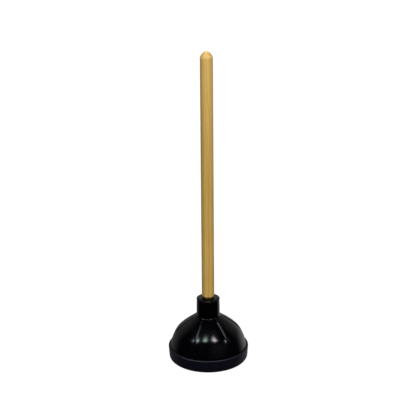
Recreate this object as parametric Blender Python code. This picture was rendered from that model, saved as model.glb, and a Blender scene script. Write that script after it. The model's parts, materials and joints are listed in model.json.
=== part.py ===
"""Sink and toilet plunger: a moulded rubber force cup on a screw-in wooden handle.

Metres, +Z up, standing on the floor with its centre line on the Z axis.
The front is -Y, and azimuths are counted from the front towards +X.

The cup is one rubber moulding.  It is built as the four parts of it that move
against each other when it is used: the stiff foot rim, the skirt that lets the
handle lean, the dome that collapses on a push, and the collar round the socket.
The handle is a second piece, and screws into the collar.
"""

from math import cos, pi, radians, sin

import bmesh
import bpy
from mathutils import Vector

MM = 0.001
GAP = 0.3 * MM                  # clearance kept between neighbouring solids

# Foot rim: the thick band that seals on the bowl or floor.
FOOT_R = 73.1 * MM              # outside, just above the rounded foot edge
BAND_R = 74.9 * MM              # outside, at the top of the band
BAND_TOP = 25.6 * MM
FOOT_ROUND = 6.2 * MM
BAND_ROUND = 2.0 * MM
GROOVE_R = 72.6 * MM            # wall of the groove between the band and the skirt
FOOT_INNER_R = 63.0 * MM
FOOT_INNER_ROUND = 2.0 * MM
RIM_TOP = 24.3 * MM             # seat of the skirt, in the groove behind the band
RIM_INNER_R = 65.8 * MM

# Skirt: the leaning wall between the rim's groove and the kink below the dome.
SKIRT_FOOT_R = 72.1 * MM
SKIRT_TOP_R = 62.7 * MM
SKIRT_BULGE = 0.5 * MM
SKIRT_INNER_FOOT_R = 66.0 * MM
SKIRT_INNER_TOP_R = 57.0 * MM
KINK_Z = 51.1 * MM

# Dome: a curved wall from the kink up to the collar, with raised radial ribs.
DOME_FOOT_R = 62.5 * MM
DOME_FOOT_INNER_R = 57.1 * MM
DOME_TOP_Z = 85.7 * MM
DOME_SHOULDER_R = 56.2 * MM     # where the tangents of the outer curve meet
DOME_SHOULDER_Z = 63.3 * MM
DOME_INNER_SHOULDER_R = 50.9 * MM
DOME_INNER_SHOULDER_Z = 60.3 * MM
DOME_INNER_TOP_Z = 79.2 * MM
RIBS = 6
FIRST_RIB = radians(35.5)
RIB_HALF_WIDTH = 2.8 * MM
RIB_CREST = 0.8 * MM
RIB_HEIGHT = 1.5 * MM
RIB_FADE_IN_R = 53.0 * MM       # ribs are full height inside this radius
RIB_END_R = 61.0 * MM           # and have run out at this one

# Collar: the upright socket and its inner boss.
BOSS_BOTTOM = 78.0 * MM
BOSS_R = 22.3 * MM
BOSS_ROUND = 2.5 * MM
COLLAR_FOOT_Z = 86.0 * MM
COLLAR_FOOT_R = 21.7 * MM
COLLAR_R = 21.3 * MM
LIP_R = 21.6 * MM               # edge where the wall meets the sloping top
LIP_Z = 120.0 * MM
CROWN_R = 17.2 * MM             # the top is flat inside this radius
COLLAR_TOP = 121.9 * MM
MOUTH_R = 10.8 * MM
SOCKET_BORE_R = 9.8 * MM
SOCKET_FLOOR = 85.7 * MM

# Handle: a dowel 20 in long, with a turned 3/4 in thread of 5 per inch.
HANDLE_R = 11.6 * MM
HANDLE_BOTTOM = 87.0 * MM
HANDLE_LENGTH = 508.0 * MM
SHOULDER_Z = 124.6 * MM         # the tip lands on the socket floor before this seats
CROWN_HEIGHT = 12.5 * MM
CROWN_POWER = 1.5               # 2 would be an ellipse; lower is more pointed
THREAD_CREST_R = 9.5 * MM
THREAD_ROOT_R = 7.4 * MM
THREAD_PITCH = 25.4 / 5 * MM
THREAD_TURNS = 5
NECK_R = 9.3 * MM               # plain neck between the thread and the shoulder
NECK_Z = 119.6 * MM
THREAD_START = HANDLE_BOTTOM + 1.0 * MM
TIP_CHAMFER = 1.0 * MM

# Travel axes.
LEAN_Z = 36.0 * MM              # the cup leans about a line across the skirt

CUP_SIDES = 80
COLLAR_SIDES = 44
HANDLE_SIDES = 36


def around(azimuth, r, z):
    """Point at a radius and height, on an azimuth counted from the front."""
    return Vector((r * sin(azimuth), -r * cos(azimuth), z))


def quarter(r, z, radius, start, steps=3):
    """Points of a quarter round about (r, z), from a start angle in the r-z plane."""
    points = []
    for i in range(steps + 1):
        a = start + (pi / 2) * i / steps
        points.append((r + radius * cos(a), z + radius * sin(a)))
    return points


def curve(start, middle, end, steps):
    """Points of a parabolic arc whose end tangents meet at the middle point."""
    points = []
    for i in range(steps + 1):
        t = i / steps
        a = (1 - t) * (1 - t)
        b = 2 * t * (1 - t)
        c = t * t
        r = a * start[0] + b * middle[0] + c * end[0]
        z = a * start[1] + b * middle[1] + c * end[1]
        points.append((r, z))
    return points


def material(name, colour, roughness):
    """Principled material for one sub-part."""
    m = bpy.data.materials.new(name)
    m.use_nodes = True
    shader = m.node_tree.nodes["Principled BSDF"]
    shader.inputs["Base Color"].default_value = (*colour, 1.0)
    shader.inputs["Roughness"].default_value = roughness
    m.diffuse_color = (*colour, 1.0)
    return m


def add_object(name, bm, mat, parent, smooth_angle=35.0):
    """Finish a closed mesh as one object, with its normals facing out."""
    bmesh.ops.recalc_face_normals(bm, faces=bm.faces)
    for face in bm.faces:
        face.smooth = True
    for edge in bm.edges:
        edge.smooth = edge.calc_face_angle(0.0) < radians(smooth_angle)
    mesh = bpy.data.meshes.new(name)
    bm.to_mesh(mesh)
    bm.free()
    mesh.materials.append(mat)
    obj = bpy.data.objects.new(name, mesh)
    bpy.context.scene.collection.objects.link(obj)
    if parent is not None:
        mesh.transform(parent.matrix_world.inverted())
        obj.parent = parent
    return obj


def add_axis(name, z, parent=None):
    """Empty on the centre line that carries a moving group."""
    empty = bpy.data.objects.new(name, None)
    empty.empty_display_size = 0.05
    bpy.context.scene.collection.objects.link(empty)
    empty.parent = parent
    empty.location = (0.0, 0.0, z if parent is None else z - parent.matrix_world[2][3])
    bpy.context.view_layer.update()
    return empty


def bridge(bm, lower, upper):
    """Wall between two rings of equal count."""
    count = len(lower)
    for i in range(count):
        j = (i + 1) % count
        bm.faces.new((lower[i], lower[j], upper[j], upper[i]))


def cap(bm, ring, r_z):
    """Close a ring with a fan to a point on the centre line."""
    tip = bm.verts.new((0.0, 0.0, r_z))
    count = len(ring)
    for i in range(count):
        bm.faces.new((ring[i], ring[(i + 1) % count], tip))


def ring_of(bm, r, z, sides):
    """Ring of vertices at one radius and height."""
    return [bm.verts.new(around(2 * pi * i / sides, r, z)) for i in range(sides)]


def revolve(profile, sides, closed):
    """Body of revolution from a profile of (r, z) points.

    A closed profile runs right round a ring-shaped section.  An open one starts
    and ends on the centre line, with r = 0 at its first and last points.
    """
    bm = bmesh.new()
    inner = profile if closed else profile[1:-1]
    rings = [ring_of(bm, r, z, sides) for r, z in inner]
    for lower, upper in zip(rings, rings[1:]):
        bridge(bm, lower, upper)
    if closed:
        bridge(bm, rings[-1], rings[0])
    else:
        cap(bm, rings[0], profile[0][1])
        cap(bm, rings[-1], profile[-1][1])
    return bm


def rim():
    """Foot rim: flat foot, rounded edges, tapered band and the groove behind it."""
    foot = quarter(FOOT_R - FOOT_ROUND, FOOT_ROUND, FOOT_ROUND, -pi / 2, 4)
    top = quarter(BAND_R - BAND_ROUND, BAND_TOP - BAND_ROUND, BAND_ROUND, 0.0, 3)
    groove = [(GROOVE_R + 0.3 * MM, BAND_TOP - 0.3 * MM), (GROOVE_R, RIM_TOP)]
    inside = [(RIM_INNER_R, RIM_TOP)]
    heel = quarter(
        FOOT_INNER_R + FOOT_INNER_ROUND, FOOT_INNER_ROUND, FOOT_INNER_ROUND, pi, 2
    )
    return revolve(foot + top + groove + inside + heel, CUP_SIDES, closed=True)


def skirt():
    """Conical wall from the groove to the kink, very slightly bellied."""
    z0 = RIM_TOP + GAP
    z1 = KINK_Z - GAP
    belly_r = (SKIRT_FOOT_R + SKIRT_TOP_R) / 2 + SKIRT_BULGE
    profile = [
        (SKIRT_FOOT_R, z0),
        (belly_r, (z0 + z1) / 2),
        (SKIRT_TOP_R, z1),
        (SKIRT_INNER_TOP_R, z1),
        (SKIRT_INNER_FOOT_R, z0),
    ]
    return revolve(profile, CUP_SIDES, closed=True)


def rib_rise(r):
    """Height of a rib above the dome at a radius."""
    if r >= RIB_END_R:
        return 0.0
    if r <= RIB_FADE_IN_R:
        return RIB_HEIGHT
    t = (RIB_END_R - r) / (RIB_END_R - RIB_FADE_IN_R)
    return RIB_HEIGHT * t * t * (3 - 2 * t)


def dome_ring(bm, r, z, normal, plain):
    """Ring of the dome, with four stations across every rib and plain ones between."""
    rise = rib_rise(r) if normal is not None else 0.0
    base = RIB_HALF_WIDTH / r
    crest = RIB_CREST / r
    ring = []
    for k in range(RIBS):
        centre = FIRST_RIB + 2 * pi * k / RIBS
        ring.append(bm.verts.new(around(centre - base, r, z)))
        for side in (-crest, crest):
            nr, nz = normal if normal is not None else (0.0, 0.0)
            ring.append(
                bm.verts.new(around(centre + side, r + nr * rise, z + nz * rise))
            )
        ring.append(bm.verts.new(around(centre + base, r, z)))
        span = 2 * pi / RIBS - 2 * base
        for i in range(1, plain + 1):
            a = centre + base + span * i / (plain + 1)
            ring.append(bm.verts.new(around(a, r, z)))
    return ring


def dome():
    """Domed wall, open at the top for the boss, with its ribs in one piece."""
    top_r = BOSS_R + GAP
    outer = curve(
        (DOME_FOOT_R, KINK_Z),
        (DOME_SHOULDER_R, DOME_SHOULDER_Z),
        (top_r, DOME_TOP_Z),
        11,
    )
    inner = curve(
        (DOME_FOOT_INNER_R, KINK_Z),
        (DOME_INNER_SHOULDER_R, DOME_INNER_SHOULDER_Z),
        (top_r, DOME_INNER_TOP_Z),
        8,
    )
    bm = bmesh.new()
    rings = []
    for i, (r, z) in enumerate(outer):
        before = outer[max(i - 1, 0)]
        after = outer[min(i + 1, len(outer) - 1)]
        along = Vector((after[0] - before[0], after[1] - before[1])).normalized()
        normal = (along.y, -along.x)
        # The end faces stay flat and upright, so a rib rises straight up there.
        if i == len(outer) - 1:
            normal = (0.0, 1.0)
        rings.append(dome_ring(bm, r, z, normal, 10))
    for r, z in reversed(inner):
        rings.append(dome_ring(bm, r, z, None, 10))
    for lower, upper in zip(rings, rings[1:]):
        bridge(bm, lower, upper)
    bridge(bm, rings[-1], rings[0])
    return bm


def collar():
    """Socket with its closed boss below and its sloping, flat-crowned top."""
    profile = [(0.0, BOSS_BOTTOM)]
    profile += quarter(BOSS_R - BOSS_ROUND, BOSS_BOTTOM + BOSS_ROUND, BOSS_ROUND, -pi / 2)
    profile += [
        (BOSS_R, COLLAR_FOOT_Z),
        (COLLAR_FOOT_R + 0.15 * MM, COLLAR_FOOT_Z + 1.0 * MM),
        (COLLAR_FOOT_R, COLLAR_FOOT_Z + 2.7 * MM),
        (COLLAR_R, LIP_Z - 2.0 * MM),
    ]
    slope_r = (LIP_R + CROWN_R) / 2 + 0.25 * MM
    slope_z = (LIP_Z + COLLAR_TOP) / 2 + 0.3 * MM
    profile += [
        (LIP_R, LIP_Z - 0.5 * MM),
        (LIP_R - 0.3 * MM, LIP_Z),
        (slope_r, slope_z),
        (CROWN_R, COLLAR_TOP),
        (MOUTH_R, COLLAR_TOP),
        (SOCKET_BORE_R, COLLAR_TOP - 1.0 * MM),
        (SOCKET_BORE_R, SOCKET_FLOOR),
        (0.0, SOCKET_FLOOR),
    ]
    return revolve(profile, COLLAR_SIDES, closed=False)


def thread_rise(u):
    """Share of the thread's depth at u turns from its start: it runs in and out."""
    run = min(u - 1.0, THREAD_TURNS + 0.3 - u) / 0.5
    return min(max(run, 0.0), 1.0)


def thread_point(k, i):
    """Point of the thread on its k-th helical edge line and i-th side."""
    along = (0.0, 0.36, 0.5, 0.86)[k % 4]
    depth = (0.0, 0.0, 1.0, 1.0)[k % 4]
    u = k // 4 + along + i / HANDLE_SIDES
    r = THREAD_ROOT_R + (THREAD_CREST_R - THREAD_ROOT_R) * depth * thread_rise(u)
    return around(2 * pi * i / HANDLE_SIDES, r, THREAD_START + THREAD_PITCH * u)


def thread_wall(bm, lower, upper):
    """Helical wall of the thread between two plain rings.

    Its edge lines climb one pitch every turn, so past the last side each one
    runs into the line four further on: root, flank, crest and flank make four.
    """
    last = HANDLE_SIDES - 1
    lines = []
    for k in range(THREAD_TURNS * 4 + 1):
        points = [thread_point(k, i) for i in range(HANDLE_SIDES)]
        lines.append([bm.verts.new(p) for p in points])
    top = len(lines) - 1
    seam = [line[0] for line in lines]
    seam += [bm.verts.new(thread_point(top + k, 0)) for k in range(1, 5)]
    for k in range(top):
        low, high = lines[k], lines[k + 1]
        for i in range(last):
            bm.faces.new((low[i], low[i + 1], high[i + 1], high[i]))
        bm.faces.new((low[last], seam[k + 4], seam[k + 5], high[last]))
    first, end = lines[0], lines[top]
    for i in range(last):
        bm.faces.new((lower[i], lower[i + 1], first[i + 1], first[i]))
    bm.faces.new((lower[last], lower[0], *seam[:5], first[last]))
    for i in range(1, last):
        bm.faces.new((end[i], end[i + 1], upper[i + 1], upper[i]))
    bm.faces.new((end[last], seam[top + 4], upper[0], upper[last]))
    bm.faces.new((end[0], end[1], upper[1], upper[0], *reversed(seam[top + 1:])))


def handle():
    """Dowel with a rounded crown and a threaded tip, in one piece."""
    bm = bmesh.new()
    tip = ring_of(bm, THREAD_ROOT_R - TIP_CHAMFER, HANDLE_BOTTOM, HANDLE_SIDES)
    lead = ring_of(bm, THREAD_ROOT_R, HANDLE_BOTTOM + 0.7 * MM, HANDLE_SIDES)
    neck = ring_of(bm, NECK_R, NECK_Z, HANDLE_SIDES)
    cap(bm, tip, HANDLE_BOTTOM)
    bridge(bm, tip, lead)
    thread_wall(bm, lead, neck)
    crown_top = HANDLE_BOTTOM + HANDLE_LENGTH
    profile = [
        (NECK_R, SHOULDER_Z),
        (HANDLE_R - 0.6 * MM, SHOULDER_Z),
        (HANDLE_R, SHOULDER_Z + 0.6 * MM),
    ]
    for i in range(9):
        t = (i / 9) ** 0.8
        r = HANDLE_R * (1 - t ** CROWN_POWER) ** (1 / CROWN_POWER)
        profile.append((r, crown_top - CROWN_HEIGHT * (1 - t)))
    rings = [neck]
    rings += [ring_of(bm, r, z, HANDLE_SIDES) for r, z in profile]
    for lower, upper in zip(rings, rings[1:]):
        bridge(bm, lower, upper)
    cap(bm, rings[-1], crown_top)
    return bm


def main():
    for obj in list(bpy.data.objects):
        bpy.data.objects.remove(obj)
    foot_rubber = material("foot_rubber", (0.020, 0.018, 0.022), 0.60)
    skirt_rubber = material("skirt_rubber", (0.014, 0.015, 0.018), 0.35)
    dome_rubber = material("dome_rubber", (0.012, 0.014, 0.018), 0.28)
    collar_rubber = material("collar_rubber", (0.016, 0.017, 0.019), 0.42)
    wood = material("handle_wood", (0.52, 0.34, 0.11), 0.45)

    lean = add_axis("lean_axis", LEAN_Z)
    plunge = add_axis("plunge_axis", KINK_Z, lean)
    lift = add_axis("lift_axis", COLLAR_TOP, plunge)

    add_object("cup_rim", rim(), foot_rubber, None)
    add_object("cup_skirt", skirt(), skirt_rubber, lean)
    add_object("cup_dome", dome(), dome_rubber, lean)
    add_object("cup_collar", collar(), collar_rubber, plunge)
    add_object("handle", handle(), wood, lift)


main()
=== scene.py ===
"""Looks of the plunger: glossy black rubber cup, varnished wooden handle, pale studio.

The rubber cup is one turned surface with raised ribs.  It is cut into the pieces
that ride on, or bend between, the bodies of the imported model, and neighbouring
pieces share their cut rings and the normals there, so the cup looks like one
moulding.  Metres, +Z up; azimuths are counted from the front (-Y) towards +X.
"""

import json
from math import cos, hypot, pi, radians, sin

import bpy
from mathutils import Matrix, Vector
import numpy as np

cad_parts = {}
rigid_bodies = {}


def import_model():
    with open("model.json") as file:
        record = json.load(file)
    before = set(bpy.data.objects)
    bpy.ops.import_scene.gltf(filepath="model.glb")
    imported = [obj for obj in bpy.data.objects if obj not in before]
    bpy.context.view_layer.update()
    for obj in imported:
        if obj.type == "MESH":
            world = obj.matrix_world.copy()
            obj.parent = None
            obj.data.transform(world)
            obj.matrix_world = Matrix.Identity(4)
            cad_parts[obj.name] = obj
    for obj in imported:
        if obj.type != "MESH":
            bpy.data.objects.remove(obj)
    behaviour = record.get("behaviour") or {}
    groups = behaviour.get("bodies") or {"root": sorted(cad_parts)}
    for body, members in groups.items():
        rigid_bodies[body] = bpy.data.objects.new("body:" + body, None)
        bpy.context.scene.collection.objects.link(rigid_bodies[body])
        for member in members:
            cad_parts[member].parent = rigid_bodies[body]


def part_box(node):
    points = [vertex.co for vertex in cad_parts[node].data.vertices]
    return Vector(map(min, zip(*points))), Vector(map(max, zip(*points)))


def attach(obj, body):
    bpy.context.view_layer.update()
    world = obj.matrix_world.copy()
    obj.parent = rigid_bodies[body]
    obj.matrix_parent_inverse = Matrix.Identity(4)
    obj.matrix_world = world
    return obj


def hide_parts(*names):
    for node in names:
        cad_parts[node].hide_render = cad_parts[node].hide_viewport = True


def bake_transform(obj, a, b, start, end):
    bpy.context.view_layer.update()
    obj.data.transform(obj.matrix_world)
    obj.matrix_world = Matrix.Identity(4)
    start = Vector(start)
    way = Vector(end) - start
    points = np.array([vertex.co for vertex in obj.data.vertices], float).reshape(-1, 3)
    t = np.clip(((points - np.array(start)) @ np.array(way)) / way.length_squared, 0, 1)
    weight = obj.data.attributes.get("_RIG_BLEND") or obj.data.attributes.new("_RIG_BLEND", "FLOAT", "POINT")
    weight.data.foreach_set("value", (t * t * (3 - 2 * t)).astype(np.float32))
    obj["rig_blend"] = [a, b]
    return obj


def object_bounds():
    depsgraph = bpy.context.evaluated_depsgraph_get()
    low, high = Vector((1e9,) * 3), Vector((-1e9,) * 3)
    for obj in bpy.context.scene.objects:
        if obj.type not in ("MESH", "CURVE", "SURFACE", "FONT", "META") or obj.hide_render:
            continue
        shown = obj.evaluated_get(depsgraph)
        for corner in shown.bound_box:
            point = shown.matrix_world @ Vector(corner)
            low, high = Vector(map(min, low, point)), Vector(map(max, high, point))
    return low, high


MM = 0.001

for thing in list(bpy.data.objects):
    bpy.data.objects.remove(thing)

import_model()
cad_lo, cad_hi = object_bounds()

# ---------------------------------------------------------------- driving sizes
_, rim_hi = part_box("cup_rim")
skirt_lo, skirt_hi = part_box("cup_skirt")
dome_lo, dome_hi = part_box("cup_dome")
collar_lo, collar_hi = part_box("cup_collar")
handle_lo, handle_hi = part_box("handle")

BAND_R = rim_hi.x                       # outside of the foot band, at its top
BAND_TOP = rim_hi.z
FOOT_R = BAND_R - 1.8 * MM              # the band narrows this much at the foot
FOOT_ROUND = 6.2 * MM
BAND_ROUND = 1.9 * MM
FOOT_INNER_R = BAND_R - 11.9 * MM
FOOT_INNER_ROUND = 2.2 * MM
RIM_INNER_R = BAND_R - 9.1 * MM
GROOVE_R = BAND_R - 2.3 * MM            # outer wall of the groove behind the band
GROOVE_DEPTH = 1.3 * MM
SEAT_Z = skirt_lo.z - 0.15 * MM         # middle of the gap between rim and skirt

SKIRT_FOOT_R = skirt_hi.x
SKIRT_TUCK = 1.6 * MM                   # the skirt turns in this much at the groove
SKIRT_TUCK_HEIGHT = 3.0 * MM
SKIRT_INNER_FOOT_R = SKIRT_FOOT_R - 6.1 * MM
SKIRT_BULGE = 0.5 * MM
SKIRT_STEPS = 18
KINK_Z = dome_lo.z
KINK_R = SKIRT_FOOT_R - 9.5 * MM
KINK_INNER_R = KINK_R - 5.5 * MM
BEND_BELOW = 9                          # points eased into one arc below the kink
BEND_ABOVE = 14                         # and above it

BOSS_R = collar_hi.x
DOME_TOP_R = BOSS_R + 0.3 * MM
DOME_TOP_Z = dome_hi.z - 1.5 * MM       # the model's ribs stand this much above the dome
DOME_SHOULDER = (KINK_R - 6.4 * MM, KINK_Z + 12.2 * MM)
DOME_STEPS = 44
DOME_INNER_SHOULDER = (KINK_INNER_R - 6.2 * MM, KINK_Z + 9.2 * MM)
DOME_INNER_TOP_Z = DOME_TOP_Z - 6.5 * MM
DOME_INNER_STEPS = 30

RIBS = 6
FIRST_RIB = radians(35.5)
RIB_HALF_WIDTH = 2.1 * MM
RIB_HEIGHT = 1.1 * MM
RIB_FADE_R = 58.0 * MM                  # ribs start to run out at this radius
RIB_END_R = 62.8 * MM                   # and are gone at this one, just past the kink
RIB_STEPS = 16                          # azimuths across each rib
PLAIN_STEPS = 20                        # and between two ribs

COLLAR_TOP = collar_hi.z
COLLAR_R = BOSS_R - 1.0 * MM
COLLAR_FOOT_R = BOSS_R - 0.6 * MM
COLLAR_FOOT_ROUND = 1.5 * MM            # hollow round where the dome turns up
LIP_R = BOSS_R - 0.7 * MM               # edge where the wall meets the sloping top
LIP_Z = COLLAR_TOP - 1.9 * MM
CROWN_R = BOSS_R - 5.1 * MM             # the top is flat inside this radius
BOSS_BOTTOM = collar_lo.z
MOUTH_R = 10.8 * MM
BORE_R = 9.8 * MM
SOCKET_FLOOR = handle_lo.z - 1.3 * MM
SOCKET_THREAD_DEPTH = 0.55 * MM

HANDLE_R = handle_hi.x
HANDLE_TOP = handle_hi.z
HANDLE_BOTTOM = handle_lo.z
HANDLE_SIDES = 96
SHOULDER_Z = COLLAR_TOP + 2.7 * MM
NECK_R = 9.3 * MM
NECK_Z = COLLAR_TOP - 2.3 * MM
CROWN_HEIGHT = 12.5 * MM
CROWN_POWER = 1.5                       # 2 would be an ellipse; lower is more pointed
CROWN_STEPS = 33
THREAD_PITCH = 25.4 / 5 * MM
THREAD_CREST_R = 9.5 * MM
THREAD_ROOT_R = 7.4 * MM
THREAD_START = 0.4                      # turns from the tip to where the thread begins
THREAD_END = 5.9                        # and to where it has run out
THREAD_STEPS = 100

# ------------------------------------------------------------------- profiles


def arc_corner(before, corner, after, radius, steps):
    """Points of a round of a given radius that replaces a corner of a profile."""
    a = (Vector(before) - Vector(corner)).normalized()
    b = (Vector(after) - Vector(corner)).normalized()
    half = a.angle(b) / 2
    reach = radius / max(1e-6, sin(half) / cos(half))
    centre = Vector(corner) + (a + b).normalized() * (radius / sin(half))
    start = Vector(corner) + a * reach - centre
    end = Vector(corner) + b * reach - centre
    turn = start.angle_signed(end)
    points = []
    for i in range(steps + 1):
        t = -turn * i / steps
        x = start.x * cos(t) - start.y * sin(t)
        y = start.x * sin(t) + start.y * cos(t)
        points.append((centre.x + x, centre.y + y))
    return points


def rounded(corners, closed=False):
    """Profile from (r, z, radius) corners, each rounded where its radius is not 0."""
    points = []
    count = len(corners)
    for i, (r, z, radius) in enumerate(corners):
        inside = closed or 0 < i < count - 1
        if radius > 0 and inside:
            before = corners[i - 1][:2]
            after = corners[(i + 1) % count][:2]
            points += arc_corner(before, (r, z), after, radius, 6)
        else:
            points.append((r, z))
    return points


def parabola(start, middle, end, steps):
    """Arc from start to end whose end tangents meet at the middle point."""
    points = []
    for i in range(steps + 1):
        t = i / steps
        a = (1 - t) ** 2
        b = 2 * t * (1 - t)
        c = t * t
        r = a * start[0] + b * middle[0] + c * end[0]
        z = a * start[1] + b * middle[1] + c * end[1]
        points.append((r, z))
    return points


def divided(points, step):
    """The same line with points no further apart than about a step."""
    out = [points[0]]
    for (r0, z0), (r1, z1) in zip(points, points[1:]):
        n = max(1, int(hypot(r1 - r0, z1 - z0) / step))
        for i in range(1, n + 1):
            out.append((r0 + (r1 - r0) * i / n, z0 + (z1 - z0) * i / n))
    return out


def smoothstep(t):
    """0 below 0, 1 above 1, smooth between."""
    t = min(max(t, 0.0), 1.0)
    return t * t * (3 - 2 * t)


# --------------------------------------------------------------------- meshes


def around(azimuth, r, z):
    """Point at a radius and height on an azimuth counted from the front."""
    return Vector((r * sin(azimuth), -r * cos(azimuth), z))


def rib_azimuths(r):
    """Azimuths of one ring: fine steps across each rib, wider ones between them."""
    half = min(1.1 * RIB_HALF_WIDTH / max(r, 15 * MM), radians(8))
    rest = 2 * pi / RIBS - 2 * half
    ring = []
    for k in range(RIBS):
        centre = FIRST_RIB + 2 * pi * k / RIBS
        for i in range(RIB_STEPS):
            ring.append((centre - half + 2 * half * i / RIB_STEPS, k))
        for i in range(PLAIN_STEPS):
            ring.append((centre + half + rest * i / PLAIN_STEPS, k))
    return ring


def rib_section(distance):
    """Height of a rib across its width: a rounded crest that eases into its flanks."""
    t = min(abs(distance) / RIB_HALF_WIDTH, 1.0)
    return cos(pi / 2 * t) ** 2


def rib_run(r):
    """How much of a rib's height is there at a radius: it runs in and out softly."""
    inner = smoothstep((r - COLLAR_FOOT_R - 0.8 * MM) / (10.0 * MM))
    outer = 1 - smoothstep((r - RIB_FADE_R) / (RIB_END_R - RIB_FADE_R))
    return inner * outer


def profile_normal(points, i):
    """Outward normal of a profile that runs upwards on its outside."""
    r0, z0 = points[max(i - 1, 0)]
    r1, z1 = points[min(i + 1, len(points) - 1)]
    along = Vector((r1 - r0, z1 - z0)).normalized()
    return along.y, -along.x


def ring_points(points, i, ribbed):
    """Vertex positions of the i-th ring of a profile."""
    r, z = points[i]
    nr, nz = profile_normal(points, i)
    ring = []
    for azimuth, k in rib_azimuths(r):
        rise = 0.0
        if ribbed:
            centre = FIRST_RIB + 2 * pi * k / RIBS
            rise = RIB_HEIGHT * rib_run(r) * rib_section((azimuth - centre) * r)
        ring.append(around(azimuth, r + nr * rise, z + nz * rise))
    return ring


def grid_normals(rings):
    """Vertex normals of rows of rings, from the neighbours along and across."""
    count = len(rings[0])
    normals = []
    for i, ring in enumerate(rings):
        below = rings[max(i - 1, 0)]
        above = rings[min(i + 1, len(rings) - 1)]
        row = []
        for j in range(count):
            across = ring[(j + 1) % count] - ring[j - 1]
            along = above[j] - below[j]
            row.append(across.cross(along).normalized())
        normals.append(row)
    return normals


class Walls:
    """Vertices, faces and corner normals of a mesh made of rings.

    Rings run anticlockwise seen from above and follow each other upwards on an
    outer wall.  A face without normals of its own is shaded flat.
    """

    def __init__(self):
        self.vertices = []
        self.faces = []
        self.normals = []

    def add_wall(self, rings, row_normals, facing_in=False, closed=False):
        """Wall through rings, joined to its first ring if closed; returns its first vertex."""
        first = len(self.vertices)
        count = len(rings[0])
        for ring in rings:
            self.vertices.extend(ring)
        sign = -1 if facing_in else 1
        for i in range(len(rings) if closed else len(rings) - 1):
            above = (i + 1) % len(rings)
            for j in range(count):
                k = (j + 1) % count
                corners = [(i, j), (i, k), (above, k), (above, j)]
                if facing_in:
                    corners.reverse()
                self.faces.append([first + a * count + b for a, b in corners])
                self.normals.append([row_normals[a][b] * sign for a, b in corners])
        return first

    def add_band(self, lower, upper, count):
        """Flat band between two rings, each given by its first vertex."""
        for j in range(count):
            k = (j + 1) % count
            self.faces.append([lower + j, lower + k, upper + k, upper + j])
            self.normals.append(None)

    def add_cap(self, ring, count, height, facing_down=False, ring_normals=None):
        """Fan from a ring, given by its first vertex, to a point on the centre line."""
        tip = len(self.vertices)
        self.vertices.append(Vector((0, 0, height)))
        for j in range(count):
            a, b = j, (j + 1) % count
            if facing_down:
                a, b = b, a
            self.faces.append([ring + a, ring + b, tip])
            smooth = None
            if ring_normals is not None:
                smooth = [ring_normals[a], ring_normals[b], Vector((0, 0, 1))]
            self.normals.append(smooth)

    def make_object(self, name, mat):
        """Object with this mesh and its shading normals."""
        mesh = bpy.data.meshes.new(name)
        mesh.from_pydata([tuple(v) for v in self.vertices], [], self.faces)
        mesh.update()
        mesh.polygons.foreach_set("use_smooth", [True] * len(mesh.polygons))
        corner_normals = []
        for polygon, given in zip(mesh.polygons, self.normals):
            if given is None:
                given = [polygon.normal] * len(polygon.vertices)
            corner_normals += [tuple(n) for n in given]
        mesh.normals_split_custom_set(corner_normals)
        mesh.materials.append(mat)
        obj = bpy.data.objects.new(name, mesh)
        bpy.context.scene.collection.objects.link(obj)
        return obj


def tube(name, outer, inner, mat):
    """Ring-shaped piece with an outer and an inner wall and flat ends.

    Each wall is its rings and their normals; both run upwards on the same azimuths.
    """
    walls = Walls()
    count = len(outer[0][0])
    outer_foot = walls.add_wall(*outer)
    inner_foot = walls.add_wall(*inner, facing_in=True)
    outer_top = outer_foot + (len(outer[0]) - 1) * count
    inner_top = inner_foot + (len(inner[0]) - 1) * count
    walls.add_band(outer_top, inner_top, count)
    walls.add_band(inner_foot, outer_foot, count)
    return walls.make_object(name, mat)


def turned(name, points, sides, mat, radius_at):
    """Closed body of revolution from a profile that starts and ends on the axis.

    radius_at(r, z, azimuth) gives each vertex its radius, so a part can be threaded.
    """
    rings = []
    for r, z in points[1:-1]:
        ring = []
        for j in range(sides):
            azimuth = 2 * pi * j / sides
            ring.append(around(azimuth, radius_at(r, z, azimuth), z))
        rings.append(ring)
    normals = grid_normals(rings)
    walls = Walls()
    bottom = walls.add_wall(rings, normals)
    top = bottom + (len(rings) - 1) * sides
    walls.add_cap(bottom, sides, points[0][1], facing_down=True)
    walls.add_cap(top, sides, points[-1][1], ring_normals=normals[-1])
    return walls.make_object(name, mat)


# ------------------------------------------------------------------ materials

DUST = (0.05, 0.05, 0.055)
SCUFFED = (0.055, 0.052, 0.050)

EARLY_WOOD = (0.53, 0.352, 0.102)
LATE_WOOD = (0.27, 0.145, 0.030)
STREAK = (0.30, 0.185, 0.038)
FIBRE = (0.27, 0.155, 0.034)
FLECK = (0.20, 0.095, 0.025)
PATCH = (0.36, 0.232, 0.046)
# Paler top of the handle: wood tone with painted light.
PALER_TOP_WOOD_AND_LIGHT = (0.66, 0.44, 0.155)
# Crown tip: pale end-grain tone with a painted highlight.
CROWN_TIP_TONE_AND_HIGHLIGHT = (0.80, 0.62, 0.36)
# Painted shade for the neck and shoulder of the handle.
PAINTED_SHOULDER_SHADE = (0.018, 0.013, 0.003)
PITH = (-0.030, 0.034, 0.0)             # middle of the growth rings, outside the dowel
RING_WIDTH = 2.9 * MM


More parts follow.
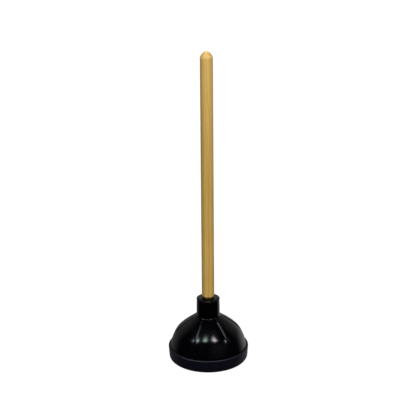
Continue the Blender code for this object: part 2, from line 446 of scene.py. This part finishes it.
class Nodes:
    """Short way to add and join nodes of a material or world."""

    def __init__(self, tree):
        self.tree = tree

    def add(self, kind, *, settings=None, **inputs):
        """New node; settings are its properties, inputs its sockets by name or _number."""
        node = self.tree.nodes.new(kind)
        for key, value in (settings or {}).items():
            setattr(node, key, value)
        for key, value in inputs.items():
            socket = int(key[1:]) if key[0] == "_" else key.replace("_", " ")
            self.put(node.inputs[socket], value)
        return node

    def put(self, socket, value):
        """Link a socket from another, or set its value."""
        if isinstance(value, bpy.types.NodeSocket):
            self.tree.links.new(value, socket)
        else:
            socket.default_value = value

    def math(self, operation, a, b=0.0):
        """Result of an operation on two numbers."""
        settings = {"operation": operation}
        return self.add("ShaderNodeMath", settings=settings, _0=a, _1=b).outputs[0]

    def vector(self, operation, a, b):
        """Vector result of an operation on two vectors."""
        settings = {"operation": operation}
        node = self.add("ShaderNodeVectorMath", settings=settings, _0=a, _1=b)
        return node.outputs["Vector"]

    def length(self, a):
        """Length of a vector."""
        node = self.add("ShaderNodeVectorMath", settings={"operation": "LENGTH"}, _0=a)
        return node.outputs["Value"]

    def dot(self, a, b):
        """Dot product of two vectors."""
        settings = {"operation": "DOT_PRODUCT"}
        node = self.add("ShaderNodeVectorMath", settings=settings, _0=a, _1=b)
        return node.outputs["Value"]

    def noise(self, vector, scale, detail=3.0, rough=0.5):
        """Noise between 0 and 1."""
        node = self.add("ShaderNodeTexNoise", Scale=scale, Detail=detail, Roughness=rough)
        self.put(node.inputs["Vector"], vector)
        return node.outputs["Fac"]

    def remap(self, value, low, high, to_low=0.0, to_high=1.0):
        """Smooth change of a value from one range to another, held at its ends."""
        node = self.add(
            "ShaderNodeMapRange",
            settings={"interpolation_type": "SMOOTHSTEP"},
            Value=value,
            From_Min=low,
            From_Max=high,
            To_Min=to_low,
            To_Max=to_high,
        )
        return node.outputs["Result"]

    def mix(self, factor, a, b, blend="MIX"):
        """Blend of two colours, each a socket or a full RGBA value."""
        node = self.add("ShaderNodeMix", settings={"data_type": "RGBA", "blend_type": blend})
        self.put(node.inputs[0], factor)
        self.put(node.inputs[6], a)
        self.put(node.inputs[7], b)
        return node.outputs[2]

    def bump(self, strength, distance, height, below=None):
        """Normal bent by a bump, on top of another bump's normal if there is one."""
        node = self.add("ShaderNodeBump", Strength=strength, Distance=distance, Height=height)
        if below is not None:
            self.put(node.inputs["Normal"], below)
        return node.outputs["Normal"]


def new_material(name):
    """Empty principled material with its nodes and its object coordinates."""
    mat = bpy.data.materials.new(name)
    mat.use_nodes = True
    nodes = Nodes(mat.node_tree)
    shader = mat.node_tree.nodes["Principled BSDF"]
    place = nodes.add("ShaderNodeTexCoord").outputs["Object"]
    return mat, nodes, shader, place


def rgba(colour):
    """Colour with full alpha."""
    return (*colour, 1.0)


def rubbed_foot(nodes, place, smear, amount):
    """Where the foot is scuffed: uneven, strongest at the floor."""
    height = nodes.add("ShaderNodeSeparateXYZ", Vector=place).outputs["Z"]
    low = nodes.remap(height, 1.0 * MM, 7.0 * MM, 1.0, 0.0)
    rubbed = nodes.math("MULTIPLY", low, nodes.remap(smear, 0.42, 0.66))
    return nodes.math("MULTIPLY", rubbed, amount)


def rubber(name, colour, rough, specular, grain, dusty, scuff=0.0):
    """Moulded black rubber: uneven gloss, fine mould grain, dust and foot scuffs."""
    mat, nodes, shader, place = new_material(name)
    cloud = nodes.noise(place, 28.0, 4.0)
    smear = nodes.noise(nodes.vector("MULTIPLY", place, (1.0, 1.0, 0.25)), 130.0, 4.0, 0.6)
    fine = nodes.noise(place, 1400.0, 2.0)

    # Paler bloom in smears, and dust specks where the cloud is thick.
    bloom = nodes.math("MULTIPLY", nodes.remap(smear, 0.45, 0.75), 0.45)
    tint = tuple(c * 1.9 + 0.0006 for c in colour)
    base = nodes.mix(bloom, rgba(colour), rgba(tint))
    specks = nodes.remap(nodes.noise(place, 900.0, 1.0), 0.70, 0.80)
    dust = nodes.math("MULTIPLY", specks, nodes.remap(cloud, 0.45, 0.70))
    base = nodes.mix(nodes.math("MULTIPLY", dust, dusty), base, rgba(DUST))

    roughness = nodes.math("ADD", rough, nodes.remap(cloud, 0.3, 0.7, -0.02, 0.02))
    roughness = nodes.math("ADD", roughness, nodes.remap(smear, 0.4, 0.7, 0.0, 0.03))
    if scuff > 0:
        rubbed = rubbed_foot(nodes, place, smear, scuff)
        base = nodes.mix(rubbed, base, rgba(SCUFFED))
        roughness = nodes.math("ADD", roughness, nodes.math("MULTIPLY", rubbed, 0.3))

    nodes.put(shader.inputs["Base Color"], base)
    nodes.put(shader.inputs["Roughness"], roughness)
    shader.inputs["Specular IOR Level"].default_value = specular
    soft = nodes.bump(0.25, 0.25 * MM, cloud)
    nodes.put(shader.inputs["Normal"], nodes.bump(grain, 0.05 * MM, fine, soft))
    return mat


def late_wood(nodes, place):
    """Dark side of the growth rings: near-upright sheets that drift along the length."""
    wander = nodes.noise(nodes.vector("MULTIPLY", place, (22.0, 22.0, 3.2)), 1.0, 2.0)
    off_axis = nodes.vector("SUBTRACT", place, PITH)
    from_pith = nodes.length(nodes.vector("MULTIPLY", off_axis, (1.0, 1.0, 0.0)))
    rings = nodes.math("ADD", from_pith, nodes.math("MULTIPLY", wander, 0.012))
    rings = nodes.math("FRACT", nodes.math("DIVIDE", rings, RING_WIDTH))
    late = nodes.remap(rings, 0.45, 0.95)
    return nodes.math("MULTIPLY", late, nodes.remap(rings, 0.95, 1.0, 1.0, 0.0))


def varnished_wood(name):
    """Pale hardwood dowel: growth rings about an off-centre pith, fibres and flecks."""
    mat, nodes, shader, place = new_material(name)
    height = nodes.add("ShaderNodeSeparateXYZ", Vector=place).outputs["Z"]
    late = late_wood(nodes, place)

    # Fibres and streaks run along the handle; flecks are short dark dashes among them.
    fibre = nodes.noise(nodes.vector("MULTIPLY", place, (1.0, 1.0, 0.018)), 1500.0, 4.0, 0.6)
    streak = nodes.noise(nodes.vector("MULTIPLY", place, (1.0, 1.0, 0.010)), 330.0, 3.0)
    fleck = nodes.noise(nodes.vector("MULTIPLY", place, (1.0, 1.0, 0.09)), 1900.0, 1.0)
    fleck = nodes.remap(fleck, 0.66, 0.74)
    patch = nodes.noise(nodes.vector("MULTIPLY", place, (12.0, 12.0, 7.0)), 1.0, 2.0)
    base = nodes.mix(nodes.math("MULTIPLY", late, 0.50), rgba(EARLY_WOOD), rgba(LATE_WOOD))
    base = nodes.mix(nodes.remap(streak, 0.35, 0.65, 0.0, 0.40), base, rgba(STREAK))
    base = nodes.mix(nodes.remap(fibre, 0.40, 0.70, 0.0, 0.35), base, rgba(FIBRE))
    base = nodes.mix(nodes.math("MULTIPLY", fleck, 0.40), base, rgba(FLECK))
    base = nodes.mix(nodes.remap(patch, 0.35, 0.65, 0.0, 0.35), base, rgba(PATCH))

    # Paler towards the top, partly wood tone and partly painted light; paler still at the crown's tip,
    # partly end-grain tone and partly a painted highlight; painted shade on the neck and shoulder.
    # Painted light: the upper handle is mixed paler, as if the lamps lit the top more, along with the wood's
    # own paling.
    high = nodes.remap(height, HANDLE_TOP - 230 * MM, HANDLE_TOP - 20 * MM, 0.0, 0.35)
    base = nodes.mix(high, base, rgba(PALER_TOP_WOOD_AND_LIGHT))
    # Painted highlight: the crown's last few millimetres are mixed towards pale cream, along with the end
    # grain's own paler tone.
    crown = nodes.remap(height, HANDLE_TOP - 3.5 * MM, HANDLE_TOP - 0.5 * MM)
    base = nodes.mix(nodes.math("MULTIPLY", crown, 0.50), base, rgba(CROWN_TIP_TONE_AND_HIGHLIGHT))
    # Painted shade: the neck and the shank's first few millimetres above the shoulder are mixed almost to
    # black, standing in for the shade over the collar.
    shoulder_shade_mask = nodes.remap(height, SHOULDER_Z + 0.3 * MM, SHOULDER_Z + 2.8 * MM, 1.0, 0.0)
    base = nodes.mix(nodes.math("MULTIPLY", shoulder_shade_mask, 0.94), base, rgba(PAINTED_SHOULDER_SHADE))

    roughness = nodes.remap(fibre, 0.3, 0.7, 0.36, 0.48)
    roughness = nodes.math("ADD", roughness, nodes.math("MULTIPLY", shoulder_shade_mask, 0.25))
    nodes.put(shader.inputs["Base Color"], base)
    nodes.put(shader.inputs["Roughness"], roughness)
    shader.inputs["Specular IOR Level"].default_value = 0.28
    shader.inputs["Coat Weight"].default_value = 0.06
    shader.inputs["Coat Roughness"].default_value = 0.28
    soft = nodes.bump(0.35, 0.20 * MM, streak)
    nodes.put(shader.inputs["Normal"], nodes.bump(0.30, 0.06 * MM, fibre, soft))
    return mat


rim_rubber = rubber("rubber_rim", (0.0024, 0.0019, 0.0058), 0.48, 0.65, 0.40, 0.22, scuff=0.4)
skirt_rubber = rubber("rubber_skirt", (0.0005, 0.0005, 0.0009), 0.14, 0.50, 0.04, 0.04)
dome_rubber = rubber("rubber_dome", (0.0004, 0.0004, 0.0007), 0.13, 0.50, 0.03, 0.04)
collar_rubber = rubber("rubber_collar", (0.0004, 0.0004, 0.0005), 0.17, 0.45, 0.05, 0.10)
wood = varnished_wood("handle_wood")

# ------------------------------------------------------------ the rubber cup


def foot_rim():
    """Foot rim: flat sealing ring, rounded foot, tapered band and the groove."""
    groove_floor = SEAT_Z - GROOVE_DEPTH
    tuck_r = SKIRT_FOOT_R - SKIRT_TUCK
    corners = [
        (FOOT_INNER_R, 0.0, FOOT_INNER_ROUND),
        (FOOT_R, 0.0, FOOT_ROUND),
        (BAND_R + 0.03 * MM, BAND_TOP, BAND_ROUND),
        (GROOVE_R + 0.3 * MM, BAND_TOP, 0.4 * MM),
        (GROOVE_R, groove_floor, 0.5 * MM),
        (tuck_r, groove_floor, 0.5 * MM),
        (tuck_r, SEAT_Z, 0.0),
        (RIM_INNER_R, SEAT_Z, 0.0),
    ]
    line = rounded(corners, closed=True)
    line.append(line[0])
    line = divided(line, 1.6 * MM)
    rings = [ring_points(line, i, False) for i in range(len(line) - 1)]
    normals = grid_normals([rings[-1]] + rings + [rings[0]])[1:-1]
    walls = Walls()
    walls.add_wall(rings, normals, closed=True)
    return walls.make_object("foot_rim", rim_rubber)


def skirt_line(foot_r, top_r):
    """Wall of the skirt, very slightly bellied."""
    middle = ((foot_r + top_r) / 2 + SKIRT_BULGE * 2, (SEAT_Z + KINK_Z) / 2)
    return parabola((foot_r, SEAT_Z), middle, (top_r, KINK_Z), SKIRT_STEPS)


def tucked(line):
    """The skirt's outer line with its foot turned in towards the groove."""
    foot = []
    for r, z in divided(line, 0.8 * MM):
        t = 1 - min((z - SEAT_Z) / SKIRT_TUCK_HEIGHT, 1.0)
        foot.append((r - SKIRT_TUCK * t * t, z))
    return foot


def collar_line(before, foot):
    """The collar's outer line: foot, wall, sloping and flat top, and the mouth."""
    corners = [
        (*before, 0.0),
        (*foot, COLLAR_FOOT_ROUND),
        (COLLAR_FOOT_R, DOME_TOP_Z + 2.4 * MM, 1.2 * MM),
        (COLLAR_R, LIP_Z - 3.0 * MM, 3.0 * MM),
        (LIP_R, LIP_Z, 0.4 * MM),
        (CROWN_R, COLLAR_TOP, 3.0 * MM),
        (MOUTH_R, COLLAR_TOP, 0.5 * MM),
        (BORE_R, COLLAR_TOP - 1.0 * MM, 0.3 * MM),
        (BORE_R, COLLAR_TOP - 2.5 * MM, 0.0),
    ]
    return divided(rounded(corners), 1.2 * MM)


def eased_bend(line, start, end):
    """The line with a stretch between two of its points replaced by one smooth arc."""
    a, b, c, d = (Vector(line[i]) for i in (start - 1, start, end, end + 1))
    reach = (c - b).length / 3
    out_way = b + (b - a).normalized() * reach
    in_way = c + (c - d).normalized() * reach
    steps = end - start
    for i in range(1, steps):
        t = i / steps
        p = b * (1 - t) ** 3 + out_way * 3 * t * (1 - t) ** 2
        p += in_way * 3 * t * t * (1 - t) + c * t**3
        line[start + i] = tuple(p)
    return line


def outer_surface():
    """Rings and normals of the cup's outside, cut at the kink and below the collar."""
    skirt_part = tucked(skirt_line(SKIRT_FOOT_R, KINK_R))
    top = (DOME_TOP_R, DOME_TOP_Z)
    dome_part = parabola((KINK_R, KINK_Z), DOME_SHOULDER, top, DOME_STEPS)
    collar_foot = dome_part.pop()
    collar_part = collar_line(dome_part[-1], collar_foot)
    kink = len(skirt_part) - 1
    neck = kink + len(dome_part) - 1
    line = skirt_part + dome_part[1:] + collar_part[1:]
    line = eased_bend(line, kink - BEND_BELOW, kink + BEND_ABOVE)
    rings = [ring_points(line, i, True) for i in range(len(line))]
    return cut_surface(rings, kink, neck)


def inner_surface():
    """Rings and normals of the cup's inside, cut at the kink and at the boss."""
    skirt_part = skirt_line(SKIRT_INNER_FOOT_R, KINK_INNER_R)
    top = (DOME_TOP_R, DOME_INNER_TOP_Z)
    dome_part = parabola((KINK_INNER_R, KINK_Z), DOME_INNER_SHOULDER, top, DOME_INNER_STEPS)
    boss = (DOME_TOP_R - 0.6 * MM, BOSS_BOTTOM + 0.4 * MM)
    kink = len(skirt_part) - 1
    neck = kink + len(dome_part) - 1
    line = skirt_part + dome_part[1:] + [boss]
    rings = [ring_points(line, i, False) for i in range(len(line))]
    return cut_surface(rings, kink, neck)


def cut_surface(rings, kink, neck):
    """Three stretches of rings with normals; neighbours share the ring they are cut at."""
    normals = grid_normals(rings)
    skirt_part = rings[:kink + 1], normals[:kink + 1]
    dome_part = rings[kink:neck + 1], normals[kink:neck + 1]
    collar_part = rings[neck:], normals[neck:]
    return skirt_part, dome_part, collar_part


def upper_cup():
    """Skirt, dome and collar, cut from one turned surface at their shared rings."""
    outer_skirt, outer_dome, outer_collar = outer_surface()
    inner_skirt, inner_dome, inner_boss = inner_surface()
    skirt_piece = tube("skirt", outer_skirt, inner_skirt, skirt_rubber)
    dome_piece = tube("dome", outer_dome, inner_dome, dome_rubber)
    return skirt_piece, dome_piece, collar_piece(outer_collar, inner_boss)


def socket_radius(azimuth, z):
    """Radius of the socket's wall: a thread that runs out at the socket's floor."""
    turns = z / THREAD_PITCH - azimuth / (2 * pi)
    groove = smoothstep((abs((turns % 1.0) - 0.5) - 0.18) / 0.10)
    ends = smoothstep((z - SOCKET_FLOOR) / (3 * MM))
    return BORE_R + SOCKET_THREAD_DEPTH * (1 - groove) * ends


def socket_rings(top):
    """Rings of the socket's threaded wall, from its top down, and rings of its floor."""
    azimuths = [azimuth for azimuth, _ in rib_azimuths(BORE_R)]
    depth = top - SOCKET_FLOOR
    steps = int(depth / (0.45 * MM))
    wall = []
    for i in range(1, steps + 1):
        z = top - depth * i / steps
        wall.append([around(azimuth, socket_radius(azimuth, z), z) for azimuth in azimuths])
    ground = []
    for r in (0.75 * BORE_R, 0.4 * BORE_R, 0.12 * BORE_R):
        ground.append([around(azimuth, r, SOCKET_FLOOR) for azimuth in azimuths])
    return wall, ground


def boss_rings(cut_ring):
    """Rings of the boss under the dome, from the inner cut ring to near its middle."""
    flat_r = BOSS_R - 1.2 * MM
    line = [
        (BOSS_R - 0.3 * MM, BOSS_BOTTOM + 0.6 * MM),
        (flat_r, BOSS_BOTTOM + 0.15 * MM),
        (flat_r - 1.2 * MM, BOSS_BOTTOM),
        (0.5 * flat_r, BOSS_BOTTOM),
        (0.1 * flat_r, BOSS_BOTTOM),
    ]
    rings = [cut_ring]
    for r, z in line:
        rings.append([around(azimuth, r, z) for azimuth, _ in rib_azimuths(BOSS_R)])
    return rings


def collar_piece(outer, inner):
    """Collar from its cut ring up, over the mouth, down the socket, and the boss."""
    outer_rings, outer_normals = outer
    inner_rings, inner_normals = inner
    wall, ground = socket_rings(outer_rings[-1][0].z)
    rings = outer_rings + wall + ground
    count = len(rings[0])
    socket_corner = len(outer_rings) + len(wall) - 1
    normals = grid_normals(rings)
    normals[0] = outer_normals[0]
    normals[socket_corner] = [Vector((0, 0, 1))] * count
    under = boss_rings(inner_rings[0])
    under_normals = grid_normals(under)
    under_normals[0] = inner_normals[0]

    walls = Walls()
    outer_cut = walls.add_wall(rings, normals)
    inner_cut = walls.add_wall(under, under_normals, facing_in=True)
    walls.add_band(inner_cut, outer_cut, count)
    last = outer_cut + (len(rings) - 1) * count
    last_under = inner_cut + (len(under) - 1) * count
    walls.add_cap(last, count, SOCKET_FLOOR)
    walls.add_cap(last_under, count, BOSS_BOTTOM, facing_down=True)
    return walls.make_object("collar", collar_rubber)


rim = foot_rim()
skirt, dome, collar = upper_cup()

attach(rim, "foot")
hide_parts("cup_rim")

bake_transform(skirt, "foot", "cup", start=(0, 0, SEAT_Z), end=(0, 0, KINK_Z))
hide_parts("cup_skirt")

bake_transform(dome, "cup", "collar", start=(KINK_INNER_R, 0, 0), end=(DOME_TOP_R, 0, 0))
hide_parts("cup_dome")

# The dome folds by radius, the same on all sides, so both its faces move alike.
collar_r = min(hypot(v.co.x, v.co.y) for v in dome.data.vertices) + 2.6 * MM
for vertex, share in zip(dome.data.vertices, dome.data.attributes["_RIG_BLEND"].data):
    r = hypot(vertex.co.x, vertex.co.y)
    share.value = smoothstep((KINK_INNER_R - r) / (KINK_INNER_R - collar_r))

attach(collar, "collar")
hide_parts("cup_collar")

# ----------------------------------------------------------------- the handle


def thread_radius(r, z, azimuth):
    """Radius of the tip with its thread: root, flank, crest and flank every turn."""
    if z >= NECK_Z or r < THREAD_ROOT_R:
        return r
    turns = (z - HANDLE_BOTTOM - 1.0 * MM) / THREAD_PITCH - azimuth / (2 * pi)
    u = turns % 1.0
    flank_in = smoothstep((u - 0.34) / 0.16)
    flank_out = 1 - smoothstep((u - 0.84) / 0.16)
    run = smoothstep(min(turns - THREAD_START, THREAD_END - turns) / 0.6)
    rise = flank_in * flank_out * run
    return THREAD_ROOT_R + (THREAD_CREST_R - THREAD_ROOT_R) * rise


def threaded_tip(top):
    """Profile of the tip from its middle to the top of the threaded length."""
    line = [
        (0.0, HANDLE_BOTTOM),
        (0.4 * THREAD_ROOT_R, HANDLE_BOTTOM),
        (THREAD_ROOT_R - 0.9 * MM, HANDLE_BOTTOM),
        (THREAD_ROOT_R - 0.3 * MM, HANDLE_BOTTOM + 0.3 * MM),
    ]
    bottom = HANDLE_BOTTOM + 0.8 * MM
    for i in range(THREAD_STEPS + 1):
        line.append((THREAD_ROOT_R, bottom + (top - bottom) * i / THREAD_STEPS))
    return line


def crown_line():
    """Profile of the rounded crown above the shank, up to the centre line."""
    line = []
    for i in range(1, CROWN_STEPS):
        t = sin(pi / 2 * i / CROWN_STEPS) ** 1.1
        r = HANDLE_R * (1 - t**CROWN_POWER) ** (1 / CROWN_POWER)
        line.append((r, HANDLE_TOP - CROWN_HEIGHT * (1 - t)))
    line.append((0.0, HANDLE_TOP))
    return line


def handle_piece():
    """Dowel with its crown, shoulder and threaded tip."""
    thread_top = NECK_Z - 0.8 * MM
    shank_foot = SHOULDER_Z + 2.0 * MM
    corners = [
        (THREAD_ROOT_R, thread_top, 0.0),
        (NECK_R, NECK_Z, 0.4 * MM),
        (NECK_R, SHOULDER_Z, 0.3 * MM),
        (HANDLE_R, SHOULDER_Z, 0.6 * MM),
        (HANDLE_R, shank_foot, 0.0),
    ]
    shoulder = rounded(corners)
    shank = divided([(HANDLE_R, shank_foot), (HANDLE_R, HANDLE_TOP - CROWN_HEIGHT)], 12.0 * MM)
    line = threaded_tip(thread_top) + shoulder[1:] + shank[1:] + crown_line()
    return turned("wooden_handle", line, HANDLE_SIDES, wood, thread_radius)


handle = handle_piece()
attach(handle, "handle")
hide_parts("handle")

# ----------------------------------------------------------------- the studio

PAPER_GLOW = 0.93
PAPER_SIDES = 96
PAPER_DROP = 0.2 * MM                   # the paper lies this much below the foot

# Patches of light that gloss shows: (azimuth, elevation, width, height, soft edge),
# the first four in degrees, radiance, colour.
SURROUNDINGS = [
    ((-55, 46, 21, 30, 0.9), 17.0, (0.80, 0.93, 1.00)),
    ((-17, 59, 17, 28, 0.9), 10.0, (0.74, 1.00, 0.92)),
    ((31, 57, 17, 28, 0.9), 17.0, (1.00, 0.93, 0.98)),
    ((70, 32, 14, 20, 0.9), 9.0, (0.80, 0.92, 1.00)),
    ((32, 20, 90, 50, 0.9), 0.10, (0.80, 0.84, 1.00)),
    ((140, -12, 80, 70, 0.8), 0.36, (1.00, 0.97, 0.99)),
    ((180, 22, 100, 60, 0.9), 0.22, (0.98, 0.99, 1.00)),
]
BACK_WALL = 0.16
BACK_WALL_TINT = (0.97, 0.98, 1.0)
DARK_ROOM = (0.0015, 0.0015, 0.0015)

WHITE = (1.0, 1.0, 1.0)
COOL = (0.90, 0.96, 1.0)
WARM = (1.0, 0.95, 0.93)
LAMP_DISTANCE = 3.0
LAMP_AIM = (0, 0, 0.25)

CAMERA_PLACE = (0.0010, -2.633, 1.3256)
CAMERA_DOWN = 21.29                     # degrees below level
CAMERA_ROLL = -0.40
CAMERA_LENS = 134.4


def paper_mesh():
    """Flat disc that sweeps up into a round backdrop."""
    line = [(0.3, 0.0), (1.0, 0.0), (3.0, 0.0)]
    line += rounded([(3.0, 0.0, 0.0), (10.0, 0.0, 5.0), (14.0, 9.0, 0.0)])[1:]
    level = cad_lo.z - PAPER_DROP
    vertices = [(0.0, 0.0, level)]
    for r, z in line:
        for j in range(PAPER_SIDES):
            a = 2 * pi * j / PAPER_SIDES
            vertices.append((r * cos(a), r * sin(a), level + z))
    faces = [(0, 1 + j, 1 + (j + 1) % PAPER_SIDES) for j in range(PAPER_SIDES)]
    for i in range(len(line) - 1):
        low = 1 + i * PAPER_SIDES
        high = low + PAPER_SIDES
        for j in range(PAPER_SIDES):
            k = (j + 1) % PAPER_SIDES
            faces.append((low + j, high + j, high + k, low + k))
    mesh = bpy.data.meshes.new("studio_floor")
    mesh.from_pydata(vertices, [], faces)
    mesh.polygons.foreach_set("use_smooth", [True] * len(mesh.polygons))
    return mesh


def studio_floor():
    """White paper floor, lit from within; gloss, soft light and shadows ignore it."""
    mat, nodes, shader, place = new_material("studio_paper")
    mottle = nodes.noise(place, 2.0, 3.0)
    paper = nodes.mix(mottle, rgba((0.10, 0.10, 0.10)), rgba((0.11, 0.11, 0.11)))
    nodes.put(shader.inputs["Base Color"], paper)
    shader.inputs["Roughness"].default_value = 0.9
    shader.inputs["Specular IOR Level"].default_value = 0.0
    shader.inputs["Emission Color"].default_value = rgba(WHITE)
    shader.inputs["Emission Strength"].default_value = PAPER_GLOW
    mesh = paper_mesh()
    mesh.materials.append(mat)
    floor = bpy.data.objects.new("studio_floor", mesh)
    bpy.context.scene.collection.objects.link(floor)
    floor.visible_glossy = False
    floor.visible_diffuse = False
    floor.visible_shadow = False
    return floor


def bearing(azimuth, elevation):
    """Unit vector towards an azimuth from the front and an elevation, in degrees."""
    az = radians(azimuth)
    el = radians(elevation)
    return Vector((sin(az) * cos(el), -cos(az) * cos(el), sin(el)))


def soft_lamp(name, azimuth, elevation, size, radiance, colour):
    """Large square lamp aimed at the object; gloss doesn't show it."""
    data = bpy.data.lights.new(name, "AREA")
    data.size = size
    data.color = colour
    data.energy = radiance * pi * size**2
    light = bpy.data.objects.new(name, data)
    bpy.context.scene.collection.objects.link(light)
    back = bearing(azimuth, elevation)
    light.location = Vector(LAMP_AIM) + back * LAMP_DISTANCE
    light.rotation_mode = "QUATERNION"
    light.rotation_quaternion = (-back).to_track_quat("-Z", "Y")
    light.visible_glossy = False


def light_patch(nodes, direction, azimuth, elevation, width, height, edge):
    """1 in a soft oval patch of the surroundings, 0 outside it; sizes in degrees."""
    forward = bearing(azimuth, elevation)
    right = bearing(azimuth + 90, 0)
    up = right.cross(-forward)
    squares = []
    for axis, half in ((right, width / 2), (up, height / 2)):
        off_centre = nodes.dot(direction, axis / sin(radians(half)))
        squares.append(nodes.math("POWER", nodes.math("ABSOLUTE", off_centre), 2.0))
    far = nodes.math("SQRT", nodes.math("ADD", squares[0], squares[1]))
    ahead = nodes.math("GREATER_THAN", nodes.dot(direction, forward), 0.0)
    return nodes.math("MULTIPLY", nodes.remap(far, 1.0 - edge, 1.0, 1.0, 0.0), ahead)


def studio_world():
    """Dark room with a light wall behind and soft windows, seen by gloss."""
    world = bpy.data.worlds.new("studio")
    world.use_nodes = True
    bpy.context.scene.world = world
    nodes = Nodes(world.node_tree)
    background = world.node_tree.nodes["Background"]
    direction = nodes.add("ShaderNodeTexCoord").outputs["Generated"]
    behind = nodes.remap(nodes.dot(direction, (0.0, 1.0, 0.0)), 0.10, 0.62)
    wall = tuple(BACK_WALL * c for c in BACK_WALL_TINT)
    light = nodes.mix(behind, rgba(DARK_ROOM), rgba(wall))
    for where, radiance, colour in SURROUNDINGS:
        glow = tuple(radiance * c for c in colour)
        patch = light_patch(nodes, direction, *where)
        light = nodes.mix(patch, light, rgba(glow), "ADD")
    nodes.put(background.inputs["Color"], light)
    background.inputs["Strength"].default_value = 1.0


def studio_camera():
    """Long lens in front of the object, looking down on it."""
    data = bpy.data.cameras.new("camera")
    data.sensor_width = 36.0
    data.lens = CAMERA_LENS
    data.clip_end = 100.0
    camera = bpy.data.objects.new("camera", data)
    bpy.context.scene.collection.objects.link(camera)
    pitch = Matrix.Rotation(radians(90 - CAMERA_DOWN), 4, "X")
    roll = Matrix.Rotation(radians(CAMERA_ROLL), 4, "Z")
    camera.location = CAMERA_PLACE
    camera.rotation_mode = "QUATERNION"
    camera.rotation_quaternion = (pitch @ roll).to_quaternion()
    bpy.context.scene.camera = camera


floor = studio_floor()
studio_world()
soft_lamp("key", 14, 35, 2.4, 6.1, WARM)
soft_lamp("fill", -60, 40, 2.4, 0.80, COOL)
soft_lamp("top", 180, 70, 3.0, 0.2, WHITE)
soft_lamp("rear", 180, 15, 2.4, 2.2, WHITE)
studio_camera()
bpy.context.scene.view_settings.view_transform = "Standard"
bpy.context.scene.view_settings.look = "None"
